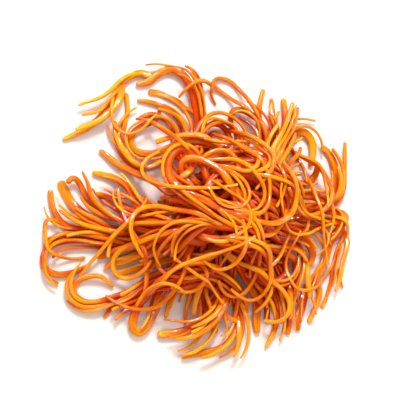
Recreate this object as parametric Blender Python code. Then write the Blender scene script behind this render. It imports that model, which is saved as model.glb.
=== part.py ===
"""One growth of soaked cordyceps: a cut foot with a loose tangle of orange fruiting bodies.

The growth rests on the flat cut face of its foot. The origin is the middle of that face, +Z is up,
and the widest spread of the strands runs along +X.

Each strand is one fruiting body. Its route is a short list of points chosen by hand, in plan, with
the layer of the tangle in which it lies there. The strands are then laid down: they sink until they
rest on the foot, on each other or on the ground, and keep a small gap everywhere.
"""

import math

import bmesh
import bpy
import numpy as np
from mathutils import Vector

MM = 0.001  # all sizes below are in millimetres

# The foot
FOOT_LENGTH = 29.0
FOOT_WIDTH = 25.0
FOOT_HEIGHT = 5.0
FOOT_SIDES = 28
FOOT_LOBES = 7
FOOT_LUMPS = 0.08  # how far its lobes stand out, as a share of its radius
LOBE_TWIST = 3.0  # radians that the lobes' pattern runs round from the bottom to the top
FOOT_PROFILE = [(0.90, 0.0), (0.98, 0.22), (1.0, 0.5), (0.97, 0.8), (0.9, 1.0)]  # size, height shares

# The strands
GAP = 0.3  # between any two neighbours
STRAND_SIDES = 5
FLATTENING = 0.82  # thickness over width of a strand that says nothing else
TIP_WIDTH = 0.55  # width at the very tip over the width before it, in the same way
GROWN_AT = 0.25  # share of its length at which a strand has its full width
TAPER_FROM = 0.6  # share of its length from which it narrows ...
TAPER = 0.16  # ... by this much at its end
ROOT_WIDTH = 2.0
ROOT_PITCH = 1.78  # spacing of the roots on the foot's spiral of roots
STEM_RISE = 2.2  # how far a root at the rim runs straight up before it bends ...
RISE_PER_INSET = 0.7  # ... and how much more for each millimetre that it stands inside the rim
STEM_SHARE = 0.7  # a root also rises at least this share of the way to its first layer
ARM_START = 2.5  # distance of a side arm's first point from the middle line of its parent
LAYER = 2.6  # height of one layer of the tangle
MOUND_HEIGHT = 7.4  # height of layer 0 over the foot
MOUND_INNER = 12.0  # the mound falls away from this distance from the middle ...
MOUND_OUTER = 27.0  # ... to the ground at this one
GROUND_LAYER = 1.5
CURVE_POINTS = 24  # points worked out between two chosen ones
CHORD_ERROR = 0.21  # how far a facet's run may leave the strand's middle line
LONGEST_FACET = 7.0
SECTION_SMOOTHING = 6  # rounds in which neighbouring sections are turned alike
UPRIGHT = 0.05  # a run leaning less than this has no level direction of its own

# Laying down
STEP = 1.5  # spacing of the points that are moved
STEM_POINTS = 3  # the first points, which stay upright over the root
ROUNDS = 520
SETTLING_ROUNDS = 400  # in the first rounds the strands sink, then they only come clear
SINK = 0.035
PLAN_PULL = 0.05  # how strongly a sinking strand keeps to its places in plan
STIFFNESS = np.array([0.30, 0.30, 0.22])  # how strongly it keeps its bends, along X, Y and Z
PUSH = 1.3
SPACING = 0.7  # clearance aimed at, so that faceted strands keep GAP
GROUND_GAP = 0.05
DEEP = 1.6  # middle lines nearer than this count as lying in each other
OWN_POINTS = 5  # points of one strand closer in number than this are not neighbours
NEIGHBOUR_REACH = 6.5
NEIGHBOUR_ROUNDS = 12

# Colours
DEEP_ORANGE = np.array([0.86, 0.20, 0.008])
YELLOW_ORANGE = np.array([0.86, 0.30, 0.008])
FOOT_ORANGE = np.array([0.72, 0.25, 0.03])
STRAND_ROUGHNESS = 0.28

# Each strand from its root to its tip: (x, y, layer). "width" is its full width, "flat" its
# thickness over its width, "tip" the width at its end over its width. A side arm names the strand
# it grows from ("arm_of") and the share of that strand's length at which it starts ("at").
STRANDS = {
    # over the middle, the top of the tangle
    "strand_01": dict(width=2.7, points=[
        (-6, 13, 3), (-9.5, 16.5, 3.4), (-13, 13, 3.8), (-13.2, 7.5, 4.2), (-10, 2.8, 4.6), (-5.8, -0.6, 5),
        (-0.5, -3.4, 5), (6, -4.8, 5), (13, -5.4, 4.8), (20, -7, 4), (27.5, -9, 3), (32, -11.5, 2)]),
    "strand_02": dict(width=2.6, points=[
        (-9, 8, 2.4), (-8, 11.6, 3.2), (-3, 11.6, 4), (0.8, 9.4, 4.4), (3.2, 6, 4.4), (4.6, 2, 4),
        (5, -2.4, 3.6), (6, -8, 3.2), (8.2, -12, 3.6), (11.7, -16.4, 3.6), (15.8, -19.8, 3.2),
        (20, -21.2, 2.8), (24.2, -20, 2.6), (27, -16.6, 2.4), (27.4, -12.8, 2), (25, -9.6, 1)]),
    "strand_03": dict(width=2.7, points=[
        (-7, 0.6, 3), (-4.7, 3.2, 3.2), (-0.6, 5, 3.4), (5.2, 6, 3.4), (11, 5.4, 3.4), (16.4, 3.4, 3.2),
        (20, 0, 3), (22.4, -4, 2.2), (24.6, -7.6, 1.4)]),
    "strand_04": dict(width=2.4, points=[
        (1.4, -1.6, 2.6), (4, 0.9, 2.8), (8.2, 2.4, 2.9), (12.8, 2.3, 2.9), (16.8, 0, 2.6),
        (19, -3.4, 2), (20.4, -6.4, 1)]),
    "strand_05": dict(width=2.8, points=[
        (8, -8.5, 3), (4, -6.6, 3.8), (-3.5, -6.8, 4), (-10.5, -8, 3.8), (-17.5, -10, 3), (-23.5, -12.4, 2.2),
        (-29, -14.6, 1.8), (-32.4, -16.2, 1.4)]),
    "strand_06": dict(width=3.3, flat=0.7, points=[
        (-1.8, -9.6, 3), (-7.6, -10.6, 3), (-13.5, -12, 2.8), (-19.3, -14, 2.2), (-24.8, -16.2, 1.8),
        (-30, -18.4, 1)]),
    "strand_07": dict(width=2.8, points=[
        (-6, -9, 2.6), (-4, -9.6, 3), (1.2, -8.4, 3.6), (8.2, -8, 3.8), (14, -8.8, 3.8), (20, -10, 3.6),
        (26, -11.6, 2.6), (30, -14.6, 1.6), (31, -19, 0.8), (30, -22, 0.4)]),
    "strand_08": dict(width=2.8, points=[
        (12, -2, 1.2), (15.8, -3.4, 2), (21.6, -5, 2.4), (27.5, -6, 2.6), (32.4, -7.4, 2.4),
        (35.6, -10, 1.8), (36, -13, 1), (34.4, -16, 0.2)]),
    "strand_09": dict(width=2.4, points=[
        (13.5, 12, 1), (18, 15.5, 2.2), (16.4, 18.6, 3), (11.4, 17.3, 3.4), (5.8, 17.5, 3.6), (0, 18.6, 3.6),
        (-5.9, 18.6, 3.4), (-11.1, 17.2, 3.2), (-16.4, 16, 3), (-20.8, 16.6, 2.6), (-22.8, 19.4, 2),
        (-21.6, 22.8, 1.4), (-18.2, 25, 0.8), (-15.2, 27, 0.4), (-14.4, 30.4, 0)]),
    "strand_10": dict(width=2.3, points=[
        (13, 11, 0.8), (17, 16, 0.9), (19.6, 20.4, 1.2), (19.8, 24.8, 1.4), (18, 28.6, 1.6), (14, 31.2, 1.5),
        (10, 31.8, 1.3), (8, 29.8, 1), (8.4, 26.8, 0.6)]),
    "strand_11": dict(width=1.9, points=[
        (-9.6, 9, 1.6), (-8.8, 12, 2.6), (-5.9, 14, 2.8), (-3.4, 17, 2.8), (-2.6, 20.7, 2.4),
        (-0.8, 24.4, 2.4), (2.9, 26.8, 2.4), (6.8, 26.4, 2.4), (9, 23.6, 2.4), (8.4, 20.3, 2.4),
        (5.2, 18.6, 2.4), (2, 20.3, 2.6), (2, 23.2, 2.8), (4.4, 24.6, 3), (6.6, 22.9, 3), (5.4, 21, 3)]),
    "strand_12": dict(width=2.2, points=[
        (8, 12, 0.9), (6.6, 16, 1), (8.6, 19.4, 1.2), (11, 21.4, 1.8), (13.6, 22.6, 2.2), (14.4, 25, 2.4),
        (12.4, 26.6, 2.6), (10.4, 25.4, 2.6)]),
    "strand_13": dict(width=3.0, points=[
        (0, 15, 0.3), (0, 21, 0.3), (-1.4, 27.4, 0.6), (-2.9, 32.5, 0.8), (-4.4, 37.4, 0.8),
        (-6.6, 41.4, 0.6), (-10, 43.6, 0.4), (-14, 43.4, 0.2), (-18, 41, 0.1), (-22, 38, 0)]),
    "strand_14": dict(width=1.7, points=[
        (-8, 9, 0.7), (-12.6, 13.6, 1.4), (-16.4, 12.3, 1.9), (-19.8, 12, 1.9), (-22.4, 14, 1.8),
        (-24.2, 17.6, 1.4), (-24.8, 22, 0.9), (-23.9, 27, 0.5), (-23.9, 31.4, 0.2), (-24.4, 34.6, 0)]),
    # top and top left, thin on the ground
    "strand_15": dict(width=1.9, points=[
        (-4, 14, 0.2), (-6.8, 19, 0.3), (-5.9, 23, 0.4), (-6.6, 26.8, 0.3), (-9.2, 29.8, 0.2),
        (-13.5, 31.8, 0.1), (-18, 32.6, 0), (-21, 32.8, 0)]),
    "strand_16": dict(width=2.0, points=[
        (-8, 13, 0.2), (-10, 18.6, 0.2), (-9.4, 22.6, 0.2), (-10.4, 25.8, 0.1), (-13.2, 28.2, 0),
        (-17, 28.8, 0), (-20.4, 27, 0)]),
    "strand_17": dict(width=2.3, arm_of="strand_13", at=0.9, points=[
        (-23.6, 39.4, 0), (-27, 36, 0), (-29, 31.6, 0), (-31.2, 27.4, 0), (-34.6, 23.8, 0),
        (-39.2, 20.7, 0), (-43.8, 18.5, 0)]),
    "strand_18": dict(width=1.8, arm_of="strand_13", at=0.52, points=[
        (-7.4, 35.4, 0.4), (-11, 37, 0.2), (-14, 38.8, 0), (-17.6, 40.2, 0)]),
    # top right
    "strand_19": dict(width=2.7, flat=0.72, points=[
        (15, 13, 0.3), (18.4, 18, 0.4), (20.2, 22.4, 0.6), (19.5, 27, 0.5), (19, 31.4, 0.3),
        (19.6, 35.8, 0.1), (20.8, 40, 0)]),
    "strand_20": dict(width=2.7, flat=0.72, points=[
        (18, 12, 0.2), (21.8, 17, 0.3), (23.4, 22.4, 0.5), (23.4, 27.4, 0.4), (23.2, 32.4, 0.2),
        (22.6, 37.6, 0)]),
    "strand_21": dict(width=2.5, points=[
        (9, 6, 2.2), (14, 8.2, 2.8), (17.6, 10.2, 3), (20.2, 12.8, 3), (22.4, 16, 3), (24.2, 19.6, 2.6),
        (25.6, 23.5, 2.2), (26.9, 27.7, 1.6), (27.6, 32.5, 0.8), (27.3, 37.2, 0.2)]),
    "strand_22": dict(width=3.2, flat=0.66, points=[
        (18.7, 9.6, 0.8), (23.4, 14.6, 1), (27, 19.6, 1), (28.6, 24, 1), (31.2, 26.9, 0.9),
        (34.8, 27.4, 0.6), (37.2, 24.8, 0.5), (37.4, 20.7, 0.3), (36.4, 16.8, 0.1)]),
    "strand_23": dict(width=1.5, arm_of="strand_21", at=0.66, points=[
        (28.2, 22.6, 1.8), (30.6, 20.7, 1.6), (32.6, 17.9, 1.6), (33.7, 14.6, 1.6), (33.6, 10.6, 1.6)]),
    "strand_24": dict(width=1.9, points=[
        (19, 4.4, 1.4), (24.4, 11.8, 1.2), (26.8, 15.6, 1.6), (29, 18.6, 1.6), (31.8, 21.4, 1.6),
        (33.6, 23.6, 1.5)]),
    "strand_25": dict(width=3.4, flat=0.6, points=[
        (16, 3, 0), (27, 3.4, 0), (36, 3.2, 0), (42, 5.6, 0.1), (44.8, 10.6, 0.1), (44.4, 16.4, 0),
        (42.2, 20.4, 0), (38.8, 22.2, 0)]),
    "strand_26": dict(width=2.8, points=[
        (17, 9.6, 1.8), (27, 10, 1.2), (34, 10.4, 0.8), (37.4, 12.6, 1.2), (37.8, 15, 2.4)]),
    # right
    "strand_27": dict(width=3.2, tip=0.9, points=[
        (14, 4, 1.6), (20.6, 5.8, 1.8), (25.2, 7.2, 2.2), (28.4, 9.4, 3.2)]),
    "strand_28": dict(width=2.7, points=[
        (4.4, 9, 2.8), (8.8, 10.9, 3.4), (12.9, 10.2, 3.8), (17.5, 8.8, 3.8), (21.2, 6.7, 3.6),
        (23.8, 3.8, 3.2), (24.4, 0.2, 2.8)]),
    "strand_29": dict(width=3.5, flat=0.62, points=[
        (14, 4, 1), (21.6, 5.2, 1.3), (27, 5.8, 1.6), (31.6, 6.2, 1.8), (35.4, 6.4, 1.8), (38.6, 5.6, 1.4),
        (41, 3.4, 0.8)]),
    "strand_30": dict(width=2.9, points=[
        (14, 0.6, 0.8), (21.6, -0.6, 1.2), (26.4, 0, 1.6), (31, 0.6, 1.8), (35.8, 1.4, 1.8),
        (40.4, 2.6, 1.6), (44.6, 2.6, 1.3), (47.6, 0.6, 1), (46.4, -2, 1), (42.6, -2.8, 1.2),
        (38, -3.6, 1.6), (33.4, -4.6, 1.8), (29, -5.6, 2)]),
    "strand_31": dict(width=3.2, flat=0.62, arm_of="strand_30", at=0.72, points=[
        (42.4, -6, 0.6), (41, -9.5, 0.5), (40.8, -12.3, 0.3), (39.2, -15.4, 0.2), (36.9, -18.6, 0.1),
        (34.6, -22.2, 0), (33.2, -26, 0), (32, -29.8, 0), (31.2, -33.6, 0), (32, -36, 0)]),
    "strand_32": dict(width=2.2, arm_of="strand_31", at=0.5, points=[
        (37.4, -22.6, 0), (37, -26.4, 0), (35.8, -29.8, 0), (34.6, -32.8, 0)]),
    "strand_33": dict(width=1.6, arm_of="strand_30", at=0.63, points=[
        (47, -4.6, 0.5), (45.4, -8, 0.3), (44, -12, 0.2), (43.2, -16.4, 0), (42, -20.8, 0),
        (40.4, -25.2, 0), (38.6, -28.6, 0)]),
    "strand_34": dict(width=2.0, points=[
        (4, -3, 1.8), (9.4, -3.6, 2.2), (14, -2.8, 2.2), (19.3, -1, 2), (23.6, 0.8, 1.4)]),
    # left
    "strand_35": dict(width=2.0, points=[
        (-3.6, 12, 2), (-1.4, 15, 2.6), (0.2, 13, 3), (3.6, 10.8, 3.2), (7.6, 8.8, 3), (11.4, 8, 2.6)]),
    "strand_36": dict(width=2.3, points=[
        (2.4, 12, 2), (4.4, 15, 2.4), (8, 16, 2.6), (11.2, 14.8, 2.6), (13, 12.2, 2.4), (13, 9, 1.8)]),
    "strand_37": dict(width=2.5, points=[
        (-10, 3.4, 1.6), (-14.6, 6.6, 1.9), (-18.7, 8.7, 2), (-23.4, 10.7, 1.6), (-28, 13, 0.9),
        (-32, 15.6, 0.3)]),
    "strand_38": dict(width=2.5, points=[
        (-9, -1.4, 1.6), (-15.2, -2.4, 2), (-19.3, -0.6, 2.2), (-22, 1.9, 2.2), (-24, 5, 2),
        (-26.5, 7.4, 1.5), (-29.8, 8.7, 0.9), (-34, 9.2, 0.3)]),
    "strand_39": dict(width=2.4, points=[
        (-5, -5.6, 2), (-10.5, -6, 2.6), (-15.2, -4.8, 2.8), (-19.3, -3, 2.6), (-23.4, -1.2, 2.3),
        (-27.5, 0.6, 1.8), (-31, 1.6, 1.2), (-34.4, 1.4, 1)]),
    "strand_40": dict(width=2.4, points=[
        (-10, -5, 0.8), (-17.5, -7, 1.8), (-22.4, -5.9, 2), (-27.5, -4.5, 1.8), (-32.2, -2.2, 1.4),
        (-35.1, 0.4, 1), (-37.1, 3.6, 0.6), (-39.2, 6.2, 0.4), (-41.4, 6.8, 0.3), (-42.4, 5, 0)]),
    "strand_41": dict(width=3.3, flat=0.65, points=[
        (-13, -6.4, 0.2), (-21, -7.6, 0.2), (-28, -8, 0.2), (-33, -6.8, 0.2), (-37, -4.4, 0.1),
        (-40, -1.2, 0), (-42.2, 2.4, 0), (-43.6, 6, 0)]),
    "strand_42": dict(width=2.2, arm_of="strand_41", at=0.62, points=[
        (-39.4, -7, 0), (-43, -6.4, 0), (-45.6, -4, 0), (-46.8, 0, 0), (-46.6, 3.6, 0)]),
    "strand_43": dict(width=2.1, points=[
        (-12, -10, 1), (-20, -12.6, 1.1), (-28, -12, 1), (-33, -11.4, 0.9), (-37.6, -11.4, 0.6),
        (-42.2, -12, 0.3), (-46, -13.6, 0.1), (-48, -16.4, 0), (-47.4, -19.6, 0), (-44.6, -21.6, 0),
        (-41, -21.6, 0), (-37.4, -20.2, 0.4), (-34.6, -18.2, 0.8)]),
    # bottom left
    "strand_44": dict(width=2.1, points=[
        (-5, -13, 0.8), (-8, -17.4, 1), (-12.3, -21, 1.1), (-16.4, -23.6, 1), (-20.5, -25.4, 0.9),
        (-25.2, -26.8, 0.7), (-29.8, -28, 0.5), (-34, -28.9, 0.2), (-37.4, -28, 0), (-39.2, -25.6, 0),
        (-38.6, -23, 0.1), (-36, -21.2, 0.5), (-32.6, -20.8, 0.9), (-29.8, -22, 0.8), (-27.6, -24, 0.6)]),
    "strand_45": dict(width=2.0, arm_of="strand_44", at=0.33, points=[
        (-18.7, -27.6, 0.7), (-22.8, -29, 0.5), (-26.3, -29.8, 0.2), (-29.2, -31.4, 0), (-31, -34.6, 0)]),
    "strand_46": dict(width=2.6, points=[
        (3.4, -7.8, 2.4), (1.2, -10.9, 2.8), (-1.8, -13.4, 2.7), (-5, -15.4, 2.3), (-8.4, -17, 1.8),
        (-12.4, -18, 1.5), (-17.5, -18.4, 1.2), (-22.8, -18.6, 0.9), (-27.4, -20.4, 0.5)]),
    "strand_47": dict(width=2.4, points=[
        (-4, -9, 2.4), (-5.3, -12.3, 2.8), (-6.6, -15.7, 2.8), (-8.6, -19, 2.4), (-11.4, -22, 1.8),
        (-14, -26, 1.2), (-15, -29.4, 0.8)]),
    # bottom
    "strand_48": dict(width=2.8, points=[
        (-8, -14, 0), (-11.7, -22, 0), (-14.6, -30, 0), (-16.6, -34.6, 0), (-19.2, -37.4, 0.2),
        (-21.6, -36, 0.5), (-21.4, -32.4, 1), (-19, -28.4, 1.6), (-15.8, -24.9, 2.2), (-12.3, -21.7, 2.6),
        (-7.6, -19.4, 3), (-2.3, -18.6, 3), (2.9, -19.2, 3), (7.6, -20.6, 3), (11.4, -23.2, 2.6),
        (13.5, -26.6, 2.2), (13.6, -30.4, 1.8)]),
    "strand_49": dict(width=2.7, points=[
        (3, -12, 1), (4.7, -17.9, 1.3), (5, -22.4, 1.8), (3.8, -26.9, 1.6), (1.4, -31, 1.2),
        (-2, -34.2, 0.8), (-6.4, -36.6, 0.4), (-11.4, -37.6, 0.1), (-14, -37.8, 0)]),
    "strand_50": dict(width=2.4, points=[
        (-4, -12, 0.8), (-3.6, -18, 1.1), (-7, -21.4, 1.3), (-9.9, -24.6, 1.2), (-11.2, -28.3, 0.9),
        (-11.4, -32.4, 0.4)]),
    "strand_51": dict(width=2.9, points=[
        (-1, -13, 0.5), (-0.4, -19, 0.8), (-0.8, -23, 1), (-0.2, -27, 0.8), (1.6, -32.4, 0.3),
        (4.4, -36.6, 0)]),
    "strand_52": dict(width=1.9, points=[
        (7, -13, 1.6), (8.2, -20.4, 1.4), (8, -25.4, 1.2), (6.4, -28.8, 0.9), (7.8, -31.8, 0.6),
        (11, -33.4, 0.2)]),
    "strand_53": dict(width=3.3, flat=0.62, points=[
        (11, -12, 0.8), (14, -20.2, 1.1), (16.4, -24, 1.2), (17.2, -28.6, 1), (17.4, -32.5, 0.7),
        (18, -36.4, 0.4)]),
    "strand_54": dict(width=2.2, points=[
        (14, -11, 0.8), (18.1, -18.2, 1), (20.4, -23.4, 1.1), (20.9, -28.6, 0.9), (21, -33.4, 0.7)]),
    "strand_55": dict(width=2.5, points=[
        (17, -9, 1.5), (21.4, -17, 1.3), (23.4, -22.6, 1.4), (24.2, -27.4, 1.5), (24, -32, 1.3),
        (22.8, -36, 0.9), (20.2, -40.4, 0.4)]),
    "strand_56": dict(width=2.3, points=[
        (19, -6, 0.4), (24.2, -15, 0.7), (26.4, -22, 1), (27.8, -27.6, 0.8), (28.3, -32, 0.5),
        (27.6, -36.4, 0.3)]),
    "strand_57": dict(width=1.8, arm_of="strand_08", at=0.7, points=[
        (33.4, -11.6, 1.2), (31.8, -16, 1.2), (30.2, -20, 1.2), (29, -23.4, 1.3), (28, -26, 1.3)]),
    "strand_58": dict(width=2.8, flat=0.7, points=[
        (2, -10, 1.4), (4.6, -12.9, 2), (8.2, -14.8, 2), (11.1, -17.6, 1.8), (13, -21, 1.6),
        (15, -25, 1.6), (18.6, -28, 1.6)]),
    "strand_59": dict(width=2.4, points=[
        (6, -14, 0), (10, -22, 0), (11.6, -29, 0), (10.8, -35.3, 0), (8.2, -39.4, 0), (3.8, -41.6, 0),
        (-1.2, -42.6, 0), (-6.4, -44.2, 0)]),
}


def clear_scene():
    for thing in list(bpy.data.objects):
        bpy.data.objects.remove(thing, do_unlink=True)


def unit(vectors):
    """Rows brought to length one."""
    return vectors / np.maximum(np.linalg.norm(vectors, axis=-1, keepdims=True), 1e-9)


def level_across(along):
    """The level direction across each run; an upright root takes that of the strand above it."""
    level = np.stack([-along[:, 1], along[:, 0], np.zeros(len(along))], axis=1)
    for k in reversed(range(len(along) - 1)):
        if np.linalg.norm(level[k]) < UPRIGHT:
            level[k] = level[k + 1]
    return level


# ---------------------------------------------------------------- routes


def layer_height(x, y, layer):
    """Height of a layer of the tangle, which is heaped over the foot."""
    distance = math.hypot(x, y)
    share = min(1.0, max(0.0, (MOUND_OUTER - distance) / (MOUND_OUTER - MOUND_INNER)))
    heap = share * share * (3.0 - 2.0 * share)
    return GROUND_LAYER + (MOUND_HEIGHT - GROUND_LAYER) * heap + LAYER * layer


def smooth_route(points, step):
    """Points every step along a Catmull-Rom curve through the given ones."""
    knots = np.array([2 * points[0] - points[1], *points, 2 * points[-1] - points[-2]])
    curve = []
    for k in range(1, len(knots) - 2):
        a, b, c, d = knots[k - 1:k + 3]
        for t in np.linspace(0.0, 1.0, CURVE_POINTS, endpoint=False):
            curve.append(0.5 * (2 * b + (c - a) * t + (2 * a - 5 * b + 4 * c - d) * t * t
                                + (3 * b - a - 3 * c + d) * t ** 3))
    curve = np.array([*curve, points[-1]])
    along = np.concatenate([[0.0], np.cumsum(np.linalg.norm(np.diff(curve, axis=0), axis=1))])
    stations = np.linspace(0.0, along[-1], max(4, round(along[-1] / step)) + 1)
    return np.stack([np.interp(stations, along, curve[:, axis]) for axis in range(3)], axis=1)


def root_places(count):
    """Evenly spread roots on the foot, on a spiral from its middle to its rim."""
    stretch = math.sqrt(FOOT_LENGTH / FOOT_WIDTH)
    places = []
    for k in range(count):
        radius = ROOT_PITCH * math.sqrt(k + 0.5)
        angle = k * math.pi * (3.0 - math.sqrt(5.0))
        places.append((radius * math.cos(angle) * stretch, radius * math.sin(angle) / stretch))
    return places


def choose_roots():
    """Give each strand of the foot a root: the low ones near the rim, on the side they lie on."""
    names = [name for name, strand in STRANDS.items() if "arm_of" not in strand]
    names.sort(key=lambda name: sum(point[2] for point in STRANDS[name]["points"][:2]))
    places = root_places(len(names))
    outer = max(math.hypot(*place) for place in places)
    chosen = {}
    for order, name in enumerate(names):
        x, y, _ = STRANDS[name]["points"][0]
        reach = outer * math.sqrt(1.0 - order / len(names))
        size = max(math.hypot(x, y), 1e-6)
        wish = (x / size * min(reach, size), y / size * min(reach, size))
        place = min(places, key=lambda spot: math.dist(spot, wish))
        places.remove(place)
        chosen[name] = place
    return chosen


def first_routes():
    """Each strand's middle line before it is laid down."""
    roots = choose_roots()
    rim = max(math.hypot(*place) for place in roots.values())
    top = FOOT_HEIGHT + GAP
    routes = {}
    for name, strand in STRANDS.items():
        points = [np.array([x, y, layer_height(x, y, layer)]) for x, y, layer in strand["points"]]
        if "arm_of" in strand:
            parent = routes[strand["arm_of"]]
            start = parent[round(strand["at"] * (len(parent) - 1))]
            points.insert(0, start + ARM_START * unit(points[0] - start))
        else:
            x, y = roots[name]
            inset = rim - math.hypot(x, y)
            rise = max(STEM_RISE + RISE_PER_INSET * inset, STEM_SHARE * (points[0][2] - top))
            points.insert(0, np.array([x, y, top + rise]))
            points.insert(0, np.array([x, y, top]))
        routes[name] = smooth_route(points, STEP)
        if name in roots:
            for k in range(1, STEM_POINTS):
                routes[name][k] = routes[name][0] + np.array([0.0, 0.0, k * STEP])
    return routes


# ---------------------------------------------------------------- laying down


def half_widths(strand, count):
    """Half the width of a strand at each of its points."""
    full = strand["width"] / 2.0
    share = np.linspace(0.0, 1.0, count)
    root = full if "arm_of" in strand else min(full, ROOT_WIDTH / 2.0)
    grown = root + (full - root) * np.clip(share / GROWN_AT, 0.0, 1.0)
    return grown * (1.0 - TAPER * np.clip((share - TAPER_FROM) / (1.0 - TAPER_FROM), 0.0, 1.0) ** 2)


def nearest_shares(p, u, q, v):
    """Shares s and t at which the runs p + s u and q + t v come nearest."""
    w = p - q
    a = np.einsum("ij,ij->i", u, u)
    b = np.einsum("ij,ij->i", u, v)
    c = np.einsum("ij,ij->i", v, v)
    d = np.einsum("ij,ij->i", u, w)
    e = np.einsum("ij,ij->i", v, w)
    area = a * c - b * b
    s = np.where(area > 1e-6, (b * e - c * d) / np.maximum(area, 1e-6), 0.5)
    s = np.clip(s, 0.0, 1.0)
    t = np.clip((b * s + e) / c, 0.0, 1.0)
    s = np.clip((b * t - d) / a, 0.0, 1.0)
    return s[:, None], t[:, None]


class Tangle:
    """All strands as one set of points that can be pushed apart."""

    def __init__(self, routes):
        self.names = list(routes)
        self.counts = [len(routes[name]) for name in self.names]
        self.starts = np.concatenate([[0], np.cumsum(self.counts)[:-1]])
        self.place = np.concatenate([routes[name] for name in self.names])
        self.wish = self.place.copy()
        self.owner = np.repeat(np.arange(len(self.names)), self.counts)
        self.order = np.concatenate([np.arange(count) for count in self.counts])
        self.rank = np.array([routes[name][:, 2].mean() for name in self.names])
        strands = [STRANDS[name] for name in self.names]
        self.width = np.concatenate([half_widths(s, n) for s, n in zip(strands, self.counts)])
        flat = np.repeat([strand.get("flat", FLATTENING) for strand in strands], self.counts)
        self.thick = self.width * flat
        inner = self.owner[:-1] == self.owner[1:]
        self.first = np.nonzero(inner)[0]
        self.length = np.linalg.norm(self.place[self.first + 1] - self.place[self.first], axis=1)
        middle = inner[:-1] & inner[1:]
        self.middle = np.nonzero(middle)[0] + 1
        self.bend = self.bend_now()
        self.on_foot = np.array(["arm_of" not in STRANDS[name] for name in self.names])
        self.held = self.on_foot[self.owner] & (self.order < STEM_POINTS)
        self.arms = []
        for k, strand in enumerate(strands):
            if "arm_of" in strand:
                parent = self.names.index(strand["arm_of"])
                joint = self.starts[parent] + round(strand["at"] * (self.counts[parent] - 1))
                self.arms.append((self.starts[k], joint))

    def bend_now(self):
        m = self.middle
        return (self.place[m - 1] + self.place[m + 1]) / 2.0 - self.place[m]

    def across(self):
        """The level direction across each strand, which its flat side follows."""
        along = np.gradient(self.place, axis=0)
        ends = self.order == 0
        along[ends] = self.place[np.nonzero(ends)[0] + 1] - self.place[ends]
        last = np.append(ends[1:], True)
        along[last] = self.place[last] - self.place[np.nonzero(last)[0] - 1]
        return unit(level_across(unit(along)))

    def find_neighbours(self):
        a = self.first
        centre = (self.place[a] + self.place[a + 1]) / 2.0
        near = []
        for k in range(len(a) - 1):
            apart = centre[k + 1:] - centre[k]
            close = np.einsum("ij,ij->i", apart, apart) < NEIGHBOUR_REACH ** 2
            other = np.nonzero(close)[0] + k + 1
            near.append(np.stack([np.full(len(other), k), other], axis=1))
        pairs = np.concatenate(near)
        i, j = a[pairs[:, 0]], a[pairs[:, 1]]
        same = (self.owner[i] == self.owner[j]) & (np.abs(i - j) < OWN_POINTS)
        self.pair = (i[~same], j[~same])

    def contacts(self, across):
        i, j = self.pair
        u = self.place[i + 1] - self.place[i]
        v = self.place[j + 1] - self.place[j]
        s, t = nearest_shares(self.place[i], u, self.place[j], v)
        apart = (self.place[j] + t * v) - (self.place[i] + s * u)
        distance = np.linalg.norm(apart, axis=1)
        # where two strands lie deep in each other, the one of the higher layers goes up,
        # but past an upright stem a strand goes round it
        above = np.where(self.rank[self.owner[j]] >= self.rank[self.owner[i]], 1.0, -1.0)
        steepest = np.maximum(np.abs(unit(u)[:, 2]), np.abs(unit(v)[:, 2]))
        apart[:, 2] += above * (1.0 - steepest ** 2) * np.maximum(DEEP - distance, 0.0)
        way = unit(apart)

        def reach(k):
            level = np.einsum("ij,ij->i", way, across[k]) ** 2
            return np.sqrt(self.width[k] ** 2 * level + self.thick[k] ** 2 * (1.0 - level))

        need = reach(i) + reach(j) + SPACING
        return i, j, s, t, way, need - distance

    def push_apart(self, across):
        i, j, s, t, way, lack = self.contacts(across)
        hit = lack > 0.0
        i, j, s, t, way = i[hit], j[hit], s[hit], t[hit], way[hit]
        push = way * (0.5 * lack[hit])[:, None]
        index = np.concatenate([i, i + 1, j, j + 1])
        moves = np.concatenate([-push * (1 - s), -push * s, push * (1 - t), push * t])
        weight = np.concatenate([1 - s, s, 1 - t, t])[:, 0]
        total = np.maximum(np.bincount(index, weight, len(self.place)), 1.0)
        for axis in range(3):
            self.place[:, axis] += PUSH * np.bincount(index, moves[:, axis], len(self.place)) / total

    def keep_off_foot(self):
        a = FOOT_LENGTH / 2.0 + self.width + SPACING
        b = FOOT_WIDTH / 2.0 + self.width + SPACING
        x, y, z = self.place.T
        share = np.sqrt((x / a) ** 2 + (y / b) ** 2)
        under = FOOT_HEIGHT + self.thick + SPACING - z
        out = (1.0 - share) * (a + b) / 2.0
        inside = (share < 1.0) & (under > 0.0) & ~self.held
        up = inside & (under <= out)
        aside = inside & ~up
        self.place[up, 2] += under[up]
        self.place[aside, :2] /= np.maximum(share[aside], 0.2)[:, None]

    def keep_shape(self, sinking):
        m = self.middle
        change = self.bend_now() - self.bend
        self.place[m] += STIFFNESS * change
        if sinking:
            self.place[:, :2] += PLAN_PULL * (self.wish[:, :2] - self.place[:, :2])
        for parity in (0, 1):
            a = self.first[self.order[self.first] % 2 == parity]
            length = self.length[self.order[self.first] % 2 == parity]
            run = self.place[a + 1] - self.place[a]
            size = np.linalg.norm(run, axis=1)
            change = run * (0.5 * (size - length) / size)[:, None]
            self.place[a] += change
            self.place[a + 1] -= change

    def hold_roots(self):
        self.place[self.held] = self.wish[self.held]
        for start, joint in self.arms:
            apart = self.place[start] - self.place[joint]
            need = self.width[start] + self.width[joint] + SPACING
            size = max(np.linalg.norm(apart), 1e-6)
            if size > need:
                self.place[start] -= apart * (1.0 - need / size)

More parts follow.
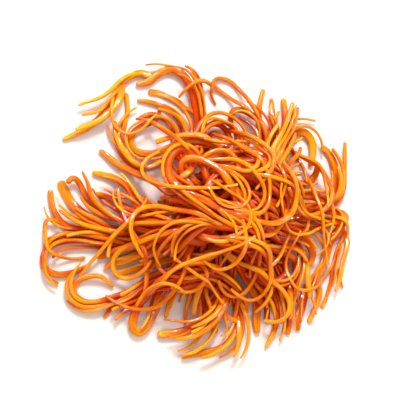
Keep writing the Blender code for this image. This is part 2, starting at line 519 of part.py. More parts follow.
    def lay_down(self):
        for k in range(ROUNDS):
            if k % NEIGHBOUR_ROUNDS == 0:
                self.find_neighbours()
                across = self.across()
            sinking = k < SETTLING_ROUNDS
            if sinking:
                self.place[:, 2] -= SINK
            self.keep_shape(sinking)
            self.push_apart(across)
            if not sinking:
                self.push_apart(across)
            self.keep_off_foot()
            self.place[:, 2] = np.maximum(self.place[:, 2], self.thick + GROUND_GAP)
            self.hold_roots()
        return {name: self.place[start:start + count]
                for name, start, count in zip(self.names, self.starts, self.counts)}


# ---------------------------------------------------------------- solids


def facet_stations(route):
    """The points of a route that its facets need: close together only where it curls."""
    kept = [0]
    while kept[-1] < len(route) - 1:
        start = kept[-1]
        end = start + 1
        while end + 1 < len(route):
            run = route[end + 1] - route[start]
            offsets = route[start + 1:end + 1] - route[start]
            along = offsets @ run / (run @ run)
            stray = np.linalg.norm(offsets - along[:, None] * run, axis=1).max()
            if stray > CHORD_ERROR or np.linalg.norm(run) > LONGEST_FACET:
                break
            end += 1
        kept.append(end)
    return kept


def section_frames(line):
    """For each point of a line, the direction across the strand and the one through it."""
    along = unit(np.gradient(line, axis=0))
    level = level_across(along)
    for _ in range(SECTION_SMOOTHING):
        level[1:-1] = (level[:-2] + level[1:-1] + level[2:]) / 3.0
    level -= np.einsum("ij,ij->i", level, along)[:, None] * along
    across = unit(level)
    return across, np.cross(along, across)


def make_material(name, colour):
    material = bpy.data.materials.new(name)
    material.use_nodes = True
    shader = material.node_tree.nodes["Principled BSDF"]
    shader.inputs["Base Color"].default_value = (*colour, 1.0)
    shader.inputs["Roughness"].default_value = STRAND_ROUGHNESS
    shader.inputs["Metallic"].default_value = 0.0
    return material


def add_object(name, bm, colour):
    mesh = bpy.data.meshes.new(name)
    bm.normal_update()
    bm.to_mesh(mesh)
    bm.free()
    mesh.shade_smooth()
    mesh.materials.append(make_material(name, colour))
    bpy.context.collection.objects.link(bpy.data.objects.new(name, mesh))


def draw_out(bm, sides, sections):
    """A closed solid drawn out of a flat face, section by section.

    Each section turns a corner of the unit circle into its place.
    """
    bmesh.ops.create_circle(bm, cap_ends=True, segments=sides, radius=1.0)
    end = bm.faces[:][0]
    corners = [vert.co.copy() for vert in end.verts]
    for k, section in enumerate(sections):
        if k > 0:
            grown = bmesh.ops.extrude_face_region(bm, geom=[end])["geom"]
            if k > 1:
                bmesh.ops.delete(bm, geom=[end], context="FACES_ONLY")
            end = next(piece for piece in grown if isinstance(piece, bmesh.types.BMFace))
        for vert, corner in zip(end.verts, corners):
            vert.co = Vector(section(corner)) * MM
    bmesh.ops.recalc_face_normals(bm, faces=bm.faces[:])


def make_strand(name, route, number):
    """A flattened, faceted tube from the root of a strand to its blunt tip."""
    strand = STRANDS[name]
    widths = half_widths(strand, len(route))
    across, through = section_frames(route)
    flat = strand.get("flat", FLATTENING)
    stations = facet_stations(route)
    widths[-1] *= strand.get("tip", TIP_WIDTH)

    def section_at(k):
        return lambda corner: route[k] + widths[k] * (corner.x * across[k] + corner.y * flat * through[k])

    bm = bmesh.new()
    draw_out(bm, STRAND_SIDES, [section_at(k) for k in stations])
    shade = 0.5 + 0.5 * math.sin(2.4 * number)  # differs from strand to strand
    add_object(name, bm, DEEP_ORANGE + shade * (YELLOW_ORANGE - DEEP_ORANGE))


def make_foot():
    """The low lobed base: a flat cut face below and the level field of the roots above."""

    def section_at(size, height):
        def place(corner):
            turn = math.atan2(corner.y, corner.x)
            lobe = 1.0 - FOOT_LUMPS * (1.0 + math.sin(FOOT_LOBES * turn + LOBE_TWIST * height)) / 2.0
            return (corner.x * size * lobe * FOOT_LENGTH / 2.0,
                    corner.y * size * lobe * FOOT_WIDTH / 2.0,
                    height * FOOT_HEIGHT)
        return place

    bm = bmesh.new()
    draw_out(bm, FOOT_SIDES, [section_at(size, height) for size, height in FOOT_PROFILE])
    add_object("foot", bm, FOOT_ORANGE)


def main():
    clear_scene()
    make_foot()
    routes = Tangle(first_routes()).lay_down()
    for number, (name, route) in enumerate(routes.items()):
        make_strand(name, route, number)


main()
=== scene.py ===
import math

import bmesh
import bpy
import numpy as np
from mathutils import Matrix, Vector, geometry, noise


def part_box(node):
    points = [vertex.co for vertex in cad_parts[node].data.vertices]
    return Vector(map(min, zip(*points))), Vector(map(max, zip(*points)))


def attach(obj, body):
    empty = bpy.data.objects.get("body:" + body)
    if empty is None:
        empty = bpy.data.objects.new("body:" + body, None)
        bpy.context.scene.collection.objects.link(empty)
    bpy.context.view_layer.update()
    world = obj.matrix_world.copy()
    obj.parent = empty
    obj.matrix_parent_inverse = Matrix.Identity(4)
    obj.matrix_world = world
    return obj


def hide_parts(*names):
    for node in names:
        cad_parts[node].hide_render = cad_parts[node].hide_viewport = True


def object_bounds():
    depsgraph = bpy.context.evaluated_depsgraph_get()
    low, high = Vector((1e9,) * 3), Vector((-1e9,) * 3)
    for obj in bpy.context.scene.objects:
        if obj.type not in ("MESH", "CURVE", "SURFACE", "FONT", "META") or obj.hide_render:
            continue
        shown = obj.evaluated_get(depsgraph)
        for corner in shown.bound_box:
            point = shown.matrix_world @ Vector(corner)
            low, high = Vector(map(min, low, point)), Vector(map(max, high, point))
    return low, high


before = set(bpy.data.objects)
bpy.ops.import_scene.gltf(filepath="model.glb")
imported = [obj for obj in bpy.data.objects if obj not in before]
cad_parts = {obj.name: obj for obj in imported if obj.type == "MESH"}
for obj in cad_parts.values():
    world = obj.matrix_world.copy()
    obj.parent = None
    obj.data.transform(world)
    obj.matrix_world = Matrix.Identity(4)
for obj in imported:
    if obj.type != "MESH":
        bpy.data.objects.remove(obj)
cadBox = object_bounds()
mm = 0.001
fine = 9  # decimals of a metre: rounding to nanometres makes each run lay the strands alike
print("frame loaded:", len(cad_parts), "nodes")


def unit(vectors):
    return vectors / np.maximum(np.linalg.norm(vectors, axis=-1, keepdims=True), 1e-12)


def ease(share):
    share = np.clip(share, 0.0, 1.0)
    return share * share * (3.0 - 2.0 * share)


def wander(distance, wavelength, seed):
    # a smooth random curve from about -1 to 1 along a strand
    return np.array([noise.noise(Vector((d / wavelength, seed * 7.31, 0.5))) for d in distance]) * 1.6


def stepsAlong(line):
    return np.concatenate([[0.0], np.cumsum(np.linalg.norm(np.diff(line, axis=0), axis=1))])


def sampleAt(stations, along, table):
    return np.stack([np.interp(stations, along, column) for column in table.T], axis=1)


def resample(line, values, spacing):
    # the line and the numbers that go with it, at an even spacing
    along = stepsAlong(line)
    stations = np.linspace(0.0, along[-1], max(6, round(along[-1] / spacing)) + 1)
    table = sampleAt(stations, along, np.column_stack([line, values])).round(fine)
    return table[:, :3], table[:, 3:], stations.round(fine)


# the solids of the strands are read as middle lines with their widths
strandReading = {
    "sides": 5,  # corners of a strand solid's section
    "spacing": 0.9 * mm,  # between two points of the middle line
    "turnSmoothing": 8,  # rounds in which the sections are turned alike
    "upright": 0.05,  # a run leaning less than this has no level direction of its own
    "blend": 12,  # points worked out between two sections of the solid
    "rootReach": 0.6 * mm,
    "merge": 0.001 * mm,
    "flat": 0.001,  # radians between two facets of one flat end
    "lastWidth": 0.96,  # the solid's last facets narrow, the real end is rounded
}


def findSections(node):
    bm = bmesh.new()
    bm.from_mesh(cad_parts[node].data)
    bmesh.ops.remove_doubles(bm, verts=bm.verts[:], dist=strandReading["merge"])
    flat = bm.copy()
    bmesh.ops.dissolve_limit(flat, angle_limit=strandReading["flat"], verts=[], edges=flat.edges[:])
    ends = [face for face in flat.faces if len(face.verts) == strandReading["sides"]]
    end = min(ends, key=lambda face: face.calc_perimeter())
    corners = [corner.co.copy() for corner in end.verts]
    flat.free()
    reach = 2.0 * strandReading["merge"]
    section = [vert for vert in bm.verts if min((vert.co - c).length for c in corners) < reach]
    seen = set(section)
    sections = []
    while section:
        sections.append(np.array([vert.co for vert in section]))
        # a dict keeps the order of the corners, a set would change it from run to run
        beside = dict.fromkeys(edge.other_vert(vert) for vert in section for edge in vert.link_edges)
        section = [vert for vert in beside if vert not in seen]
        seen.update(section)
    bm.free()
    if len(sections[-1]) == 1:
        sections.pop()  # the middle of a flat end that is cut like a cake
    if any(len(corners) != strandReading["sides"] for corners in sections):
        raise RuntimeError(f"{node} is not a plain row of sections")
    return sections


def smoothLine(centres):
    # a curve through the middles of the sections
    lengths = np.linalg.norm(np.diff(centres, axis=0), axis=1)
    slopes = np.diff(centres, axis=0) / lengths[:, None]
    before, after = lengths[:-1, None], lengths[1:, None]
    middle = (slopes[:-1] * after + slopes[1:] * before) / (before + after)
    tangents = np.array([slopes[0], *middle, slopes[-1]])
    line = []
    for k, length in enumerate(lengths):
        start, end = Vector(centres[k]), Vector(centres[k + 1])
        leave = start + Vector(tangents[k]) * length / 3.0
        arrive = end - Vector(tangents[k + 1]) * length / 3.0
        line += geometry.interpolate_bezier(start, leave, arrive, end, strandReading["blend"])[:-1]
    return np.array([*line, centres[-1]])


def turnSections(line):
    # across lies level and beside the strand, through stands on it
    along = unit(np.gradient(line, axis=0))
    level = np.stack([-along[:, 1], along[:, 0], np.zeros(len(line))], axis=1)
    for k in reversed(range(len(line) - 1)):
        if np.linalg.norm(level[k]) < strandReading["upright"]:
            level[k] = level[k + 1]
    for _ in range(strandReading["turnSmoothing"]):
        level[1:-1] = (level[:-2] + level[1:-1] + level[2:]) / 3.0
    level -= np.einsum("ij,ij->i", level, along)[:, None] * along
    across = unit(level)
    return across, np.cross(along, across)


def readStrand(node, rootHeight, footBox):
    sections = findSections(node)
    centres = np.array([corners.mean(axis=0) for corners in sections])
    across, through = turnSections(centres)
    sizes = []
    for corners, centre, a, t in zip(sections, centres, across, through):
        away = corners - centre
        sizes.append([math.sqrt(2.0 * np.mean((away @ way) ** 2)) for way in (a, t)])
    sizes = np.array(sizes)
    onFoot = [abs(centres[k][2] - rootHeight) < strandReading["rootReach"]
              and all(footBox[0][i] < centres[k][i] < footBox[1][i] for i in (0, 1)) for k in (0, -1)]
    rootIsLast = onFoot[1] if any(onFoot) else sizes[-1, 0] > sizes[0, 0]
    if rootIsLast:
        centres, sizes = centres[::-1], sizes[::-1]
    sizes[-1] = sizes[-2] * strandReading["lastWidth"]
    distances = stepsAlong(centres)
    line = smoothLine(centres)
    fineDistances = stepsAlong(line)
    fineDistances *= distances[-1] / fineDistances[-1]
    line, sizes, along = resample(line, sampleAt(fineDistances, distances, sizes), strandReading["spacing"])
    return {"node": node, "line": line, "sizes": sizes, "along": along, "onFoot": any(onFoot)}


footLow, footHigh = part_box("foot")
rootGap = 0.3 * mm  # between the foot's solid and those of the roots
strands = {}
for nodeName in sorted(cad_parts):
    if nodeName != "foot":
        strands[nodeName] = readStrand(nodeName, footHigh.z + rootGap, (footLow, footHigh))
print("strands read:", len(strands), "with",
      round(sum(strand["along"][-1] for strand in strands.values()), 3), "m in all")


# each strand's root goes on into the foot, or into the strand that it branches off
rootLaying = {
    "intoFoot": 1.1 * mm,
    "branchBack": 3.5 * mm,  # how far back along its parent a branch starts
    "towardsParent": 0.6,  # where it passes between the parent's line and its own
    "branchOf": {
        "strand_17": "strand_13", "strand_18": "strand_13", "strand_23": "strand_21",
        "strand_31": "strand_30", "strand_32": "strand_31", "strand_33": "strand_30",
        "strand_42": "strand_41", "strand_45": "strand_44", "strand_57": "strand_08"},
}


def sinkRoot(strand):
    line = strand["line"]
    if strand["onFoot"]:
        start = line[0] - np.array([0.0, 0.0, rootLaying["intoFoot"]])
        longer = np.array([start, *line])
    else:
        parent = strands[rootLaying["branchOf"][strand["node"]]]
        nearest = int(np.linalg.norm(parent["line"] - line[0], axis=1).argmin())
        back = max(0, nearest - round(rootLaying["branchBack"] / strandReading["spacing"]))
        start = parent["line"][back]
        lean = rootLaying["towardsParent"]
        between = lean * parent["line"][nearest] + (1.0 - lean) * line[0]
        longer = smoothLine(np.array([start, between, *line[1::2]]))
    added = stepsAlong(longer)[-1] - strand["along"][-1]
    sizes = sampleAt(stepsAlong(longer) - added, strand["along"], strand["sizes"])
    strand["line"], strand["sizes"], strand["along"] = resample(longer, sizes, strandReading["spacing"])


for strand in strands.values():
    sinkRoot(strand)


# thinner side shoots lie along every strand: some grew beside it from the foot, some branch off it
shootPlan = {
    "seed": 5,
    "run": 7.5 * mm,  # of the carrying strand, for each shoot that is tried
    "crowded": 0.30 * mm,  # a shoot that would lie deeper in others than this is left out
    "halfWidth": (0.48 * mm, 1.1 * mm),
    "thinMore": 1.3,  # above 1, thin shoots are the more common ones
    "rootForm": (0.8, 0.2, 0.2),  # width at the root, what it gains, and over which share of its length
    "tipForm": (0.25, 0.5),  # what it loses towards the tip, and from where
    "firstStart": 0.01,  # shares of the carrying strand: the first shoot starts at its root
    "start": (0.04, 0.62),
    "end": (0.72, 0.97),
    "longest": 60 * mm,
    "shortest": 9 * mm,
    "flat": (0.7, 0.95),  # thickness over width
    "air": 0.08 * mm,
    "spacing": 1.2 * mm,
    "ramp": 6.0 * mm,  # over which a shoot comes out of the strand
    "buried": 0.2,
    "free": 0.98,  # this far out of the strand, it may not lie in others
    "drift": 45.0,  # radians that it winds round the strand, per metre
    "looseFrom": 0.45,
    "looseEnd": (0.3 * mm, 5.0 * mm),
    "sway": (15 * mm, 0.9 * mm),  # wavelength and reach of its bends beside the strand
    "upwards": 0.4,  # it strays less up and down than sideways
    "tightest": 4.0 * mm,  # bend of a strand that a shoot still follows
    "outOfBox": 2.0,  # how much worse it is to lie in the table or above the tallest strand
    "ways": 10,  # sides of the strand that are tried
    "reach": 4.0 * mm,  # within which neighbours count
}

# threads that leave one strand for another that crosses it
crossingPlan = {
    "count": 40,
    "halfWidth": (0.45 * mm, 0.85 * mm),
    "reach": 5.0 * mm,
    "turn": (0.25, 0.93),  # cosine of the angle between the two strands
    "parts": (9 * mm, 26 * mm),  # length on either strand
    "shortest": 7 * mm,
    "sides": (0.2 * math.pi, 0.8 * math.pi),  # on the upper side of both
    "bridge": 4 * mm,  # it is carried by neither this near the crossing
    "fromEnd": 1 * mm,
    "loose": 2.0 * mm,
}

# threads that lie in bends and loops on top of the heap
loopPlan = {
    "count": 56,
    "halfWidth": (0.5 * mm, 0.9 * mm),
    "length": (18 * mm, 46 * mm),
    "tries": 40,
    "firstNumber": 500,  # of its wandering curve
    "start": (0.15, 0.8),  # shares of the strand that it leaves
    "radius": (4.2 * mm, 11 * mm),
    "curled": (0.3, 0.8),  # shares of its length between which it curls most
    "curlRun": 0.3,
    "wave": (13 * mm, 70.0),  # wavelength and radians per metre of its wandering
    "above": 0.8 * mm,  # a loop should lie no higher than this above the strands
    "bridge": 0.15,  # how much worse its highest bridge over a gap makes it
    "floor": 3.0 * mm,  # nor where the strands are lower than this
    "off": 15 * mm,  # how much worse that makes it
    "crush": 6.0,  # and lying in others because the heap's top is reached
    "middle": (-12 * mm, 3 * mm),  # the loops gather round this place, over the foot
    "inwards": 0.01,
    "sag": 0.16 * mm,  # how limp it is: its fall between two points
    "rise": 1.0 * mm,  # a loop leaves its strand where less than this lies on it
    "underTop": 0.3 * mm,
    "rounds": 130,
}

# how they all give way to each other
settling = {
    "rounds": 130,
    "lookAgain": 26,  # rounds after which neighbours are found anew
    "evening": 3,  # rounds that take out the last small kinks
    "homePull": 0.03,
    "stiffness": 0.35,
    "held": 0.97,  # a shoot is fixed where it comes less than this far out
    "strandsFrom": 0.6 * mm,  # the strands are wider, so they count from further off
    "ownPoints": 4,  # nearer in number, points of one shoot are no neighbours
    "aboveTable": 0.05 * mm,
    "atOnce": 300,  # points that are compared with all the others in one go
}
dice = np.random.default_rng(shootPlan["seed"])


def spotsOf(lines):
    # every point of these lines with its widths, for finding room between them
    sizes = np.concatenate([line["sizes"] for line in lines])
    return {"place": np.concatenate([line["line"] for line in lines]),
            "across": np.concatenate([turnSections(line["line"])[0] for line in lines]),
            "wide": sizes[:, 0], "thick": sizes[:, 1]}


def reachTowards(way, across, wide, thick):
    level = np.einsum("...i,...i->...", way, across) ** 2
    return np.sqrt(wide ** 2 * level + thick ** 2 * (1.0 - level))


def overlap(place, radius, spots):
    # how deep these round points lie in the spots, on average
    reach = shootPlan["reach"]
    low, high = place.min(axis=0) - reach, place.max(axis=0) + reach
    near = ((spots["place"] > low) & (spots["place"] < high)).all(axis=1)
    if not near.any():
        return 0.0
    apart = spots["place"][near][None] - place[:, None]
    distance = np.maximum(np.linalg.norm(apart, axis=2), 1e-9)
    way = apart / distance[..., None]
    width = reachTowards(way, spots["across"][near][None], spots["wide"][near], spots["thick"][near])
    return np.maximum(radius[:, None] + width + shootPlan["air"] - distance, 0.0).max(axis=1).mean()


def besideStrand(strand, stations, radius, angle, out, stray):
    # places beside a strand, at an angle round it, out from its middle line
    table = np.column_stack([strand["line"], strand["sizes"], *strand["frames"]])
    table = sampleAt(stations, strand["along"], table)
    line, sizes, across, through = table[:, :3], table[:, 3:5], unit(table[:, 5:8]), unit(table[:, 8:11])
    wide = (sizes[:, 0] + radius + shootPlan["air"]) * out + stray
    thick = (sizes[:, 1] + radius + shootPlan["air"]) * out + shootPlan["upwards"] * stray
    return line + across * (np.cos(angle) * wide)[:, None] + through * (np.sin(angle) * thick)[:, None]


def shootRadius(half, share):
    root, gain, over = shootPlan["rootForm"]
    loss, since = shootPlan["tipForm"]
    return half * (root + gain * ease(share / over)) * (1.0 - loss * ease((share - since) / (1.0 - since)))


def comeOut(run):
    # how far out of the strand a shoot is: 1 is beside it
    return shootPlan["buried"] + (1.0 - shootPlan["buried"]) * ease(run / shootPlan["ramp"])


def planShoot(strand, start, length, half, turn, loose, number):
    # where a shoot would lie if only its own strand were there
    run = np.linspace(0.0, length, max(8, round(length / shootPlan["spacing"]) + 1))
    share = run / length
    radius = shootRadius(half, share)
    out = comeOut(run)
    wave, sway = shootPlan["sway"]
    stray = loose * ease((share - shootPlan["looseFrom"]) / (1.0 - shootPlan["looseFrom"]))
    stray = stray + sway * (1.0 + wander(run, wave, number)) * ease(run / wave)
    angle = turn + shootPlan["drift"] * run * strand["hand"]
    return besideStrand(strand, start + run, radius, angle, out, stray), radius, out


def tightestBend(line):
    along = unit(np.diff(line, axis=0))
    turn = np.linalg.norm(np.diff(along, axis=0), axis=1)
    return np.linalg.norm(np.diff(line, axis=0), axis=1).mean() / max(turn.max(), 1e-6)


def planCrossing(strand):
    # a thread that runs on this strand, and then on another that crosses it there
    plan = crossingPlan
    first, second = dice.uniform(*plan["parts"]), dice.uniform(*plan["parts"])
    half = dice.uniform(*plan["halfWidth"])
    margin = plan["fromEnd"]
    meet = dice.uniform(first, max(first + margin, strand["along"][-1] - 2.0 * margin))
    angles = dice.uniform(*plan["sides"], size=2)
    here = sampleAt([meet], strand["along"], strand["line"])[0]
    way = unit(np.diff(sampleAt([meet - mm, meet + mm], strand["along"], strand["line"]), axis=0))[0]
    low, high = plan["turn"]
    best = None
    for other in strands.values():
        if other is strand:
            continue
        apart = np.linalg.norm(other["line"] - here, axis=1)
        k = int(apart.argmin())
        if apart[k] > plan["reach"] or k + 2 >= len(apart):
            continue
        turn = unit(other["line"][k + 1] - other["line"][k]) @ way
        if low < turn < high and (best is None or apart[k] < best[0]):
            best = (apart[k], other, other["along"][k])
    if best is None or meet > strand["along"][-1]:
        return None
    _, other, met = best
    second = min(second, other["along"][-1] - met - margin)
    if second < plan["shortest"]:
        return None
    stations = np.arange(0.0, first - plan["bridge"], shootPlan["spacing"] * 2)
    one = besideStrand(strand, meet - first + stations, half, angles[0], comeOut(stations), 0.0)
    stations = np.arange(plan["bridge"], second, shootPlan["spacing"] * 2)
    two = besideStrand(other, met + stations, half, angles[1], 1.0, plan["loose"] * ease(stations / second))
    line = smoothLine(np.array([*one, *two]))
    total = stepsAlong(line)[-1]
    line, _, along = resample(line, np.zeros(len(line)), shootPlan["spacing"])
    return line, shootRadius(half, along / total), comeOut(along)


def heapTop(places, radius, spots):
    # how high the middle of a thread has to lie to clear everything under these places
    apart = spots["place"][None, :, :2] - places[:, None, :2]
    share = 1.0 - (apart ** 2).sum(axis=2) / (spots["wide"] + radius + shootPlan["air"]) ** 2
    rise = (spots["thick"] + radius + shootPlan["air"]) * np.sqrt(np.maximum(share, 0.0))
    low, high = np.array(footLow), np.array(footHigh)
    fromFoot = (2.0 * places - low - high)[:, :2] / (high - low)[:2]
    ground = np.where((fromFoot ** 2).sum(axis=1) < 1.0, high[2], 0.0) + radius
    return np.maximum(np.where(share > 0.0, spots["place"][:, 2] + rise, 0.0).max(axis=1), ground)


def drawLoop(strand, half, number):
    # the loop seen from above, and how far each point is from where it leaves the strand
    plan = loopPlan
    start = strand["along"][-1] * dice.uniform(*plan["start"])
    here, ahead = sampleAt([start, start + mm], strand["along"], strand["line"])
    below = np.interp(start, strand["along"], strand["sizes"][:, 1])
    run = np.arange(0.0, dice.uniform(*plan["length"]), shootPlan["spacing"])
    curl = dice.choice([-1.0, 1.0]) / dice.uniform(*plan["radius"])
    wave, turning = plan["wave"]
    middle = dice.uniform(*plan["curled"]) * run[-1]
    bend = curl * np.exp(-((run - middle) / (plan["curlRun"] * run[-1])) ** 2)
    bend = (bend + turning * wander(run, wave, number)) * ease(run / shootPlan["ramp"])
    way = math.atan2(ahead[1] - here[1], ahead[0] - here[0]) + np.cumsum(bend) * shootPlan["spacing"]
    steps = np.stack([np.cos(way), np.sin(way), np.zeros(len(way))], axis=1) * shootPlan["spacing"]
    return here, here[2] + below + half, here + np.cumsum(steps, axis=0), run


def planLoop(strand, spots, fixed, number):
    # a thread that leaves the strand and lies in bends and a loop over whatever is under it
    plan = loopPlan
    half = dice.uniform(*plan["halfWidth"])
    here, onStrand, line, run = drawLoop(strand, half, number)
    floor = heapTop(line, half, spots)
    if floor[0] - onStrand > plan["rise"]:
        return None
    height = floor.copy()
    for _ in range(plan["rounds"]):
        height[1:-1] = np.maximum(floor[1:-1], (height[:-2] + height[2:]) / 2.0 - plan["sag"])
    height = np.minimum(height, cadBox[1].z - half - plan["underTop"])
    line[:, 2] = here[2] + (height - here[2]) * ease(run / shootPlan["ramp"])
    carried = heapTop(line, half, fixed)
    hanging = height - carried
    cost = np.maximum(hanging - plan["above"], 0.0).mean() + plan["bridge"] * hanging.max()
    cost += plan["crush"] * np.maximum(floor - height, 0.0).mean()
    cost += plan["off"] * (carried < plan["floor"]).mean()
    cost += plan["inwards"] * np.linalg.norm(line[:, :2].mean(axis=0) - plan["middle"])
    return cost, line, shootRadius(half, run / run[-1]), comeOut(run)


shoots = []
strandSpots = spotsOf(list(strands.values()))
placedSpots = dict(strandSpots)


def keepShoot(strand, *shoot):
    line, radius, out = (values.round(fine) for values in shoot)
    shoots.append({"node": strand["node"], "line": line, "radius": radius, "out": out})
    added = {"place": line, "across": turnSections(line)[0], "wide": radius, "thick": radius}
    for key, value in added.items():
        placedSpots[key] = np.concatenate([placedSpots[key], value])


def costOf(line, radius, out):
    free = out > shootPlan["free"]
    cost = overlap(line[free], radius[free], placedSpots)
    cost += shootPlan["outOfBox"] * np.maximum(radius - line[:, 2], 0.0).mean()
    return cost + shootPlan["outOfBox"] * np.maximum(line[:, 2] + radius - cadBox[1].z, 0.0).mean()


def plantShoot(strand, start):
    # the way round the strand where the shoot finds most room
    total = strand["along"][-1]
    length = min(total * dice.uniform(*shootPlan["end"]) - start, shootPlan["longest"])
    thin, thick = shootPlan["halfWidth"]
    half = thin + (thick - thin) * dice.random() ** shootPlan["thinMore"]
    loose = dice.uniform(*shootPlan["looseEnd"])
    first = dice.uniform(0.0, 2.0 * math.pi)
    if length < shootPlan["shortest"]:
        return
    best = None
    for way in np.arange(shootPlan["ways"]) * 2.0 * math.pi / shootPlan["ways"]:
        shoot = planShoot(strand, start, length, half, first + way, loose, len(shoots))
        cost = costOf(*shoot)
        if tightestBend(shoot[0]) > shootPlan["tightest"] and (best is None or cost < best[0]):
            best = (cost, shoot)
    if best is not None and best[0] < shootPlan["crowded"]:
        keepShoot(strand, *best[1])


def plantShoots():
    for strand in strands.values():
        strand["frames"] = turnSections(strand["line"])
        strand["hand"] = dice.choice([-1.0, 1.0])
        total = strand["along"][-1]
        for k in range(max(1, round(total / shootPlan["run"]))):
            share = shootPlan["firstStart"] if k == 0 else dice.uniform(*shootPlan["start"])
            plantShoot(strand, total * share)
    print("side shoots planned:", len(shoots))


def plantThreads():
    enough = 2.0 * crossingPlan["parts"][0]
    carriers = [strand for strand in strands.values() if strand["along"][-1] > enough]
    planned = 0
    while planned < crossingPlan["count"]:
        strand = carriers[dice.integers(len(carriers))]
        crossing = planCrossing(strand)
        if crossing is not None:
            keepShoot(strand, *crossing)
            planned += 1
    for number in range(loopPlan["count"]):
        best = None
        for _ in range(loopPlan["tries"]):
            strand = carriers[dice.integers(len(carriers))]
            loop = planLoop(strand, placedSpots, strandSpots, loopPlan["firstNumber"] + number)
            if loop is not None and (best is None or loop[0] < best[1][0]):
                best = (strand, loop)
        if best is not None:
            keepShoot(best[0], *best[1][1:])


def nearPairs(place, others, reach):
    rows, columns = [], []
    for start in range(0, len(place), settling["atOnce"]):
        apart = others[None] - place[start:start + settling["atOnce"], None]
        close = np.nonzero((apart ** 2).sum(axis=2) < reach ** 2)
        rows.append(close[0] + start)
        columns.append(close[1])
    return np.concatenate(rows), np.concatenate(columns)


def settleShoots():
    # the shoots give way to the strands and to each other until they lie clear
    fixed = strandSpots
    own = np.concatenate([np.full(len(shoot["line"]), k) for k, shoot in enumerate(shoots)])
    order = np.concatenate([np.arange(len(shoot["line"])) for shoot in shoots])
    place = np.concatenate([shoot["line"] for shoot in shoots])
    home = place.copy()
    radius = np.concatenate([shoot["radius"] for shoot in shoots])
    held = np.concatenate([shoot["out"] for shoot in shoots]) < settling["held"]
    inner = np.nonzero(own[:-2] == own[2:])[0] + 1
    bend = (place[inner - 1] + place[inner + 1]) / 2.0 - place[inner]
    low = np.array(cadBox[0]) + radius[:, None] + settling["aboveTable"]
    high = np.array(cadBox[1]) - radius[:, None]
    for turn in range(settling["rounds"]):
        if turn % settling["lookAgain"] == 0:
            i, j = nearPairs(place, fixed["place"], shootPlan["reach"] + settling["strandsFrom"])
            a, b = nearPairs(place, place, shootPlan["reach"])
            apart = (a < b) & ((own[a] != own[b]) | (np.abs(order[a] - order[b]) > settling["ownPoints"]))
            a, b = a[apart], b[apart]
        straighter = (place[inner - 1] + place[inner + 1]) / 2.0
        place[inner] += settling["stiffness"] * (straighter - place[inner] - bend)
        place += settling["homePull"] * (home - place)
        away = place[i] - fixed["place"][j]
        distance = np.maximum(np.linalg.norm(away, axis=1), 1e-9)
        way = away / distance[:, None]
        width = reachTowards(way, fixed["across"][j], fixed["wide"][j], fixed["thick"][j])
        lack = radius[i] + width + shootPlan["air"] - distance
        hit = lack > 0.0
        pushes, index = [way[hit] * lack[hit][:, None]], [i[hit]]
        away = place[a] - place[b]
        distance = np.maximum(np.linalg.norm(away, axis=1), 1e-9)
        lack = radius[a] + radius[b] + shootPlan["air"] - distance
        hit = lack > 0.0
        half = 0.5 * (away[hit] / distance[hit][:, None]) * lack[hit][:, None]
        pushes += [half, -half]
        index += [a[hit], b[hit]]
        pushes, index = np.concatenate(pushes), np.concatenate(index)
        count = np.maximum(np.bincount(index, minlength=len(place)), 1.0)
        sums = [np.bincount(index, push, len(place)) / count for push in pushes.T]
        place += np.stack(sums, axis=1)
        place = np.clip(place, low, high).round(fine)
        place[held] = home[held]
    for _ in range(settling["evening"]):
        place[inner] = (place[inner - 1] + 2.0 * place[inner] + place[inner + 1]) / 4.0
    for k, shoot in enumerate(shoots):
        shoot["line"] = place[own == k]


plantShoots()
plantThreads()
settleShoots()
print("shoots, threads and loops laid:", len(shoots), "with",
      round(sum(stepsAlong(shoot["line"])[-1] for shoot in shoots), 2), "m in all")


# how far each place is covered by others above it, for painted shade: the flesh is drawn redder and darker
# where others lie over it
heap = {
    "spread": 3.2 * mm,
    "full": 6.0,  # this much above a place covers it wholly
    "every": 2,  # only each second point counts as a cover, which is close enough
    "softly": 0.1 * mm,
    "atOnce": 200,
}


def coverLines():
    lines = [strand["line"] for strand in strands.values()] + [shoot["line"] for shoot in shoots]
    places = np.concatenate(lines)
    others = places[::heap["every"]]
    cover = []
    for start in range(0, len(places), heap["atOnce"]):
        apart = others[None] - places[start:start + heap["atOnce"], None]
        distance = np.linalg.norm(apart, axis=2) + heap["softly"]
        above = np.maximum(apart[..., 2], 0.0) / distance
        cover.append((above * np.exp(-(distance / heap["spread"]) ** 2)).sum(axis=1))
    cover = ease(np.concatenate(cover) * heap["every"] / heap["full"])
    for owner, line in zip([*strands.values(), *shoots], lines):
        owner["cover"], cover = cover[:len(line)], cover[len(line):]


coverLines()


